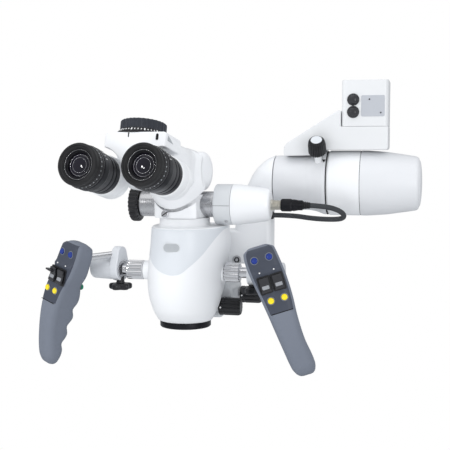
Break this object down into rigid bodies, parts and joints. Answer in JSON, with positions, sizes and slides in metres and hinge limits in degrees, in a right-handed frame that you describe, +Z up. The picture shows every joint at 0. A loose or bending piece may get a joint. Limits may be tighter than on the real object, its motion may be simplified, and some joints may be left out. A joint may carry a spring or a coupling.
{
  "type": "surgical microscope",
  "caption": "Surgical microscope head with inclinable binocular tube, camera port and two handgrips with buttons, on a balanced swing suspension.",
  "frame": {"origin": "centre of the mouth of the socket on top of the suspension post", "axes": "+X to the right along the suspension cylinder, +Y away from the surgeon, +Z up along the post"},
  "size_m": [0.4198, 0.278, 0.3161],
  "materials": {
    "white_paint": "satin powder coat",
    "panel_paint": "satin powder coat",
    "grey_paint": "satin powder coat",
    "steel": "turned and brushed",
    "chrome": "polished",
    "silver_paint": "bead blasted",
    "black_knob": "moulded, satin",
    "black_anodised": "black anodised",
    "rubber": "matt",
    "gloss_black": "glossy",
    "lens_glass": "coated",
    "handle_plastic": "fine texture",
    "blue_plastic": "glossy",
    "yellow_plastic": "glossy",
    "green_plastic": "glossy"
  },
  "bodies": {
    "suspension": {"post_bracket": "white_paint", "mount_bush": "steel", "post_caps": "gloss_black", "end_cap": "grey_paint"},
    "friction_knob": {"friction_knob": "black_knob"},
    "balance_ring": {"balance_ring": "white_paint"},
    "arm": {"carrier_arm": "white_paint", "arm_shafts": "steel"},
    "head": {"body_shell": "white_paint", "front_panel": "panel_paint", "objective_ring": "black_anodised", "objective_lens": "lens_glass", "rear_housing": "panel_paint", "splitter_housing": "white_paint", "splitter_prism": "lens_glass", "port_tubes": "steel", "camera_housing": "white_paint", "camera_plug": "rubber", "camera_cable": "rubber"},
    "zoom_carriage": {"zoom_carriage": "black_knob"},
    "filter_knob": {"filter_knob": "black_knob"},
    "diaphragm_knob": {"diaphragm_knob": "black_knob"},
    "port_knob": {"port_knob": "black_knob"},
    "focus_ring": {"focus_ring": "grey_paint"},
    "left_grip_nut": {"left_grip_nut": "steel"},
    "right_grip_nut": {"right_grip_nut": "steel"},
    "tube_base": {"tube_base": "white_paint"},
    "tube_clamp_screw": {"tube_clamp_screw": "steel"},
    "tube_head": {"tube_housing": "white_paint"},
    "distance_dial": {"distance_dial": "black_knob"},
    "left_eyepiece": {"left_eyepiece_sleeve": "white_paint", "left_eyepiece": "black_anodised"},
    "left_dioptre_ring": {"left_dioptre_ring": "black_anodised"},
    "left_eyecup": {"left_eyecup": "rubber"},
    "right_eyepiece": {"right_eyepiece_sleeve": "white_paint", "right_eyepiece": "black_anodised"},
    "right_dioptre_ring": {"right_dioptre_ring": "black_anodised"},
    "right_eyecup": {"right_eyecup": "rubber"},
    "left_grip": {"left_grip_bracket": "silver_paint"},
    "left_clamp_knob": {"left_clamp_knob": "black_knob"},
    "left_handle": {"left_handle": "handle_plastic", "left_grip_rod": "chrome"},
    "left_left_blue_button": {"left_left_blue_button": "blue_plastic"},
    "left_left_yellow_button": {"left_left_yellow_button": "yellow_plastic"},
    "left_left_rocker": {"left_left_rocker": "gloss_black"},
    "left_right_blue_button": {"left_right_blue_button": "blue_plastic"},
    "left_right_yellow_button": {"left_right_yellow_button": "yellow_plastic"},
    "left_right_rocker": {"left_right_rocker": "gloss_black"},
    "left_trigger": {"left_trigger": "green_plastic"},
    "right_grip": {"right_grip_bracket": "silver_paint"},
    "right_clamp_knob": {"right_clamp_knob": "black_knob"},
    "right_handle": {"right_handle": "handle_plastic", "right_grip_rod": "chrome"},
    "right_left_blue_button": {"right_left_blue_button": "blue_plastic"},
    "right_left_yellow_button": {"right_left_yellow_button": "yellow_plastic"},
    "right_left_rocker": {"right_left_rocker": "gloss_black"},
    "right_right_blue_button": {"right_right_blue_button": "blue_plastic"},
    "right_right_yellow_button": {"right_right_yellow_button": "yellow_plastic"},
    "right_right_rocker": {"right_right_rocker": "gloss_black"},
    "right_trigger": {"right_trigger": "green_plastic"}
  },
  "joints": [
    {"name": "friction_knob_turn", "type": "hinge", "parent": "suspension", "child": "friction_knob", "pos_m": [-0.05, 0, -0.112], "axis": [0, -0.6691, 0.7431], "range_deg": [-150, 150]},
    {"name": "balance_ring_turn", "type": "hinge", "parent": "suspension", "child": "balance_ring", "pos_m": [-0.025, 0, -0.112], "axis": [1, 0, 0], "range_deg": [-90, 90]},
    {"name": "arm_swing", "type": "hinge", "parent": "suspension", "child": "arm", "pos_m": [-0.1022, 0, -0.112], "axis": [1, 0, 0], "range_deg": [-40, 40]},
    {"name": "lateral_tilt", "type": "hinge", "parent": "arm", "child": "head", "pos_m": [-0.191, -0.016, -0.185], "axis": [0, 1, 0], "range_deg": [-12, 12], "deforming": ["camera_cable"]},
    {"name": "zoom_travel", "type": "slide", "parent": "head", "child": "zoom_carriage", "axis": [0, 0, 1], "range_m": [-0.008, 0.012]},
    {"name": "filter_knob_turn", "type": "hinge", "parent": "head", "child": "filter_knob", "pos_m": [-0.1572, -0.04, -0.249], "axis": [1, 0, 0], "range_deg": [-120, 120]},
    {"name": "diaphragm_knob_turn", "type": "hinge", "parent": "head", "child": "diaphragm_knob", "pos_m": [-0.1435, 0.012, -0.243], "axis": [1, 0, 0], "range_deg": [-120, 120]},
    {"name": "port_knob_turn", "type": "hinge", "parent": "head", "child": "port_knob", "pos_m": [-0.245, -0.06, -0.1342], "axis": [1, 0, 0], "continuous": true},
    {"name": "focus_ring_turn", "type": "hinge", "parent": "head", "child": "focus_ring", "pos_m": [-0.155, -0.06, -0.1342], "axis": [1, 0, 0], "range_deg": [-135, 135]},
    {"name": "left_grip_nut_turn", "type": "hinge", "parent": "head", "child": "left_grip_nut", "pos_m": [-0.241, -0.06, -0.208], "axis": [1, 0, 0], "continuous": true},
    {"name": "right_grip_nut_turn", "type": "hinge", "parent": "head", "child": "right_grip_nut", "pos_m": [-0.141, -0.06, -0.208], "axis": [1, 0, 0], "continuous": true},
    {"name": "tube_rotate", "type": "hinge", "parent": "head", "child": "tube_base", "pos_m": [-0.191, -0.06, -0.123], "axis": [0, 0, 1], "range_deg": [-10, 15]},
    {"name": "tube_clamp_screw_turn", "type": "hinge", "parent": "tube_base", "child": "tube_clamp_screw", "pos_m": [-0.20355, -0.09446, -0.1432], "axis": [0.1564, 0.9877, 0], "continuous": true},
    {"name": "tube_tilt", "type": "hinge", "parent": "tube_base", "child": "tube_head", "pos_m": [-0.19194, -0.06593, -0.096], "axis": [0.9877, -0.1564, 0], "range_deg": [-28, 2.5]},
    {"name": "distance_dial_turn", "type": "hinge", "parent": "tube_head", "child": "distance_dial", "pos_m": [-0.20682, -0.1599, -0.05915], "axis": [0.0352, 0.2222, 0.9744], "range_deg": [-120, 120]},
    {"name": "left_eyepiece_slide", "type": "slide", "parent": "tube_head", "child": "left_eyepiece", "axis": [-0.9877, 0.1564, 0], "range_m": [-0.005, 0.005]},
    {"name": "left_dioptre_turn", "type": "hinge", "parent": "left_eyepiece", "child": "left_dioptre_ring", "pos_m": [-0.24867, -0.21186, -0.09198], "axis": [-0.1524, -0.9624, 0.225], "range_deg": [-150, 150]},
    {"name": "left_eyecup_slide", "type": "slide", "parent": "left_eyepiece", "child": "left_eyecup", "axis": [-0.1524, -0.9624, 0.225], "range_m": [0, 0.005]},
    {"name": "right_eyepiece_slide", "type": "slide", "parent": "tube_head", "child": "right_eyepiece", "axis": [0.9877, -0.1564, 0], "range_m": [-0.005, 0.005]},
    {"name": "right_dioptre_turn", "type": "hinge", "parent": "right_eyepiece", "child": "right_dioptre_ring", "pos_m": [-0.18308, -0.22225, -0.09198], "axis": [-0.1524, -0.9624, 0.225], "range_deg": [-150, 150]},
    {"name": "right_eyecup_slide", "type": "slide", "parent": "right_eyepiece", "child": "right_eyecup", "axis": [-0.1524, -0.9624, 0.225], "range_m": [0, 0.005]},
    {"name": "left_grip_swing", "type": "hinge", "parent": "head", "child": "left_grip", "pos_m": [-0.251, -0.06, -0.208], "axis": [1, 0, 0], "range_deg": [-20, 20]},
    {"name": "left_clamp_knob_turn", "type": "hinge", "parent": "left_grip", "child": "left_clamp_knob", "pos_m": [-0.2663, -0.06, -0.224], "axis": [0, 0, 1], "continuous": true},
    {"name": "left_handle_turn", "type": "hinge", "parent": "left_grip", "child": "left_handle", "pos_m": [-0.2683, -0.06, -0.191], "axis": [0.9749, 0.2185, 0.0437], "range_deg": [-10, 10]},
    {"name": "left_left_blue_button_press", "type": "slide", "parent": "left_handle", "child": "left_left_blue_button", "axis": [0.5296, 0.84, -0.1181], "range_m": [0, 0.0012], "stiffness_N_per_m": 800},
    {"name": "left_left_yellow_button_press", "type": "slide", "parent": "left_handle", "child": "left_left_yellow_button", "axis": [0.5296, 0.84, -0.1181], "range_m": [0, 0.0012], "stiffness_N_per_m": 800},
    {"name": "left_left_rocker_tip", "type": "hinge", "parent": "left_handle", "child": "left_left_rocker", "pos_m": [-0.33589, -0.08642, -0.21032], "axis": [0.8198, -0.5426, -0.1828], "range_deg": [-7, 7], "stiffness_Nm_per_rad": 0.1},
    {"name": "left_right_blue_button_press", "type": "slide", "parent": "left_handle", "child": "left_right_blue_button", "axis": [0.5296, 0.84, -0.1181], "range_m": [0, 0.0012], "stiffness_N_per_m": 800},
    {"name": "left_right_yellow_button_press", "type": "slide", "parent": "left_handle", "child": "left_right_yellow_button", "axis": [0.5296, 0.84, -0.1181], "range_m": [0, 0.0012], "stiffness_N_per_m": 800},
    {"name": "left_right_rocker_tip", "type": "hinge", "parent": "left_handle", "child": "left_right_rocker", "pos_m": [-0.32441, -0.09402, -0.21288], "axis": [0.8198, -0.5426, -0.1828], "range_deg": [-7, 7], "stiffness_Nm_per_rad": 0.1},
    {"name": "left_trigger_press", "type": "slide", "parent": "left_handle", "child": "left_trigger", "axis": [-0.5296, -0.84, 0.1181], "range_m": [0, 0.0015], "stiffness_N_per_m": 600},
    {"name": "right_grip_swing", "type": "hinge", "parent": "head", "child": "right_grip", "pos_m": [-0.131, -0.06, -0.208], "axis": [1, 0, 0], "range_deg": [-20, 20]},
    {"name": "right_clamp_knob_turn", "type": "hinge", "parent": "right_grip", "child": "right_clamp_knob", "pos_m": [-0.1157, -0.06, -0.224], "axis": [0, 0, 1], "continuous": true},
    {"name": "right_handle_turn", "type": "hinge", "parent": "right_grip", "child": "right_handle", "pos_m": [-0.1137, -0.06, -0.191], "axis": [-0.5523, 0.833, 0.0345], "range_deg": [-10, 10]},
    {"name": "right_left_blue_button_press", "type": "slide", "parent": "right_handle", "child": "right_left_blue_button", "axis": [-0.2209, 0.9728, -0.0692], "range_m": [0, 0.0012], "stiffness_N_per_m": 800},
    {"name": "right_left_yellow_button_press", "type": "slide", "parent": "right_handle", "child": "right_left_yellow_button", "axis": [-0.2209, 0.9728, -0.0692], "range_m": [0, 0.0012], "stiffness_N_per_m": 800},
    {"name": "right_left_rocker_tip", "type": "hinge", "parent": "right_handle", "child": "right_left_rocker", "pos_m": [-0.09216, -0.10946, -0.21337], "axis": [0.9284, 0.2315, 0.2907], "range_deg": [-7, 7], "stiffness_Nm_per_rad": 0.1},
    {"name": "right_right_blue_button_press", "type": "slide", "parent": "right_handle", "child": "right_right_blue_button", "axis": [-0.2209, 0.9728, -0.0692], "range_m": [0, 0.0012], "stiffness_N_per_m": 800},
    {"name": "right_right_yellow_button_press", "type": "slide", "parent": "right_handle", "child": "right_right_yellow_button", "axis": [-0.2209, 0.9728, -0.0692], "range_m": [0, 0.0012], "stiffness_N_per_m": 800},
    {"name": "right_right_rocker_tip", "type": "hinge", "parent": "right_handle", "child": "right_right_rocker", "pos_m": [-0.07916, -0.10622, -0.2093], "axis": [0.9284, 0.2315, 0.2907], "range_deg": [-7, 7], "stiffness_Nm_per_rad": 0.1},
    {"name": "right_trigger_press", "type": "slide", "parent": "right_handle", "child": "right_trigger", "axis": [0.2209, -0.9728, 0.0692], "range_m": [0, 0.0015], "stiffness_N_per_m": 600}
  ],
  "couplings": [
    {"joint": "right_eyepiece_slide", "follows": "left_eyepiece_slide", "ratio": 1},
    {"joint": "distance_dial_turn", "follows": "left_eyepiece_slide", "rad_per_m": 418.88}
  ]
}
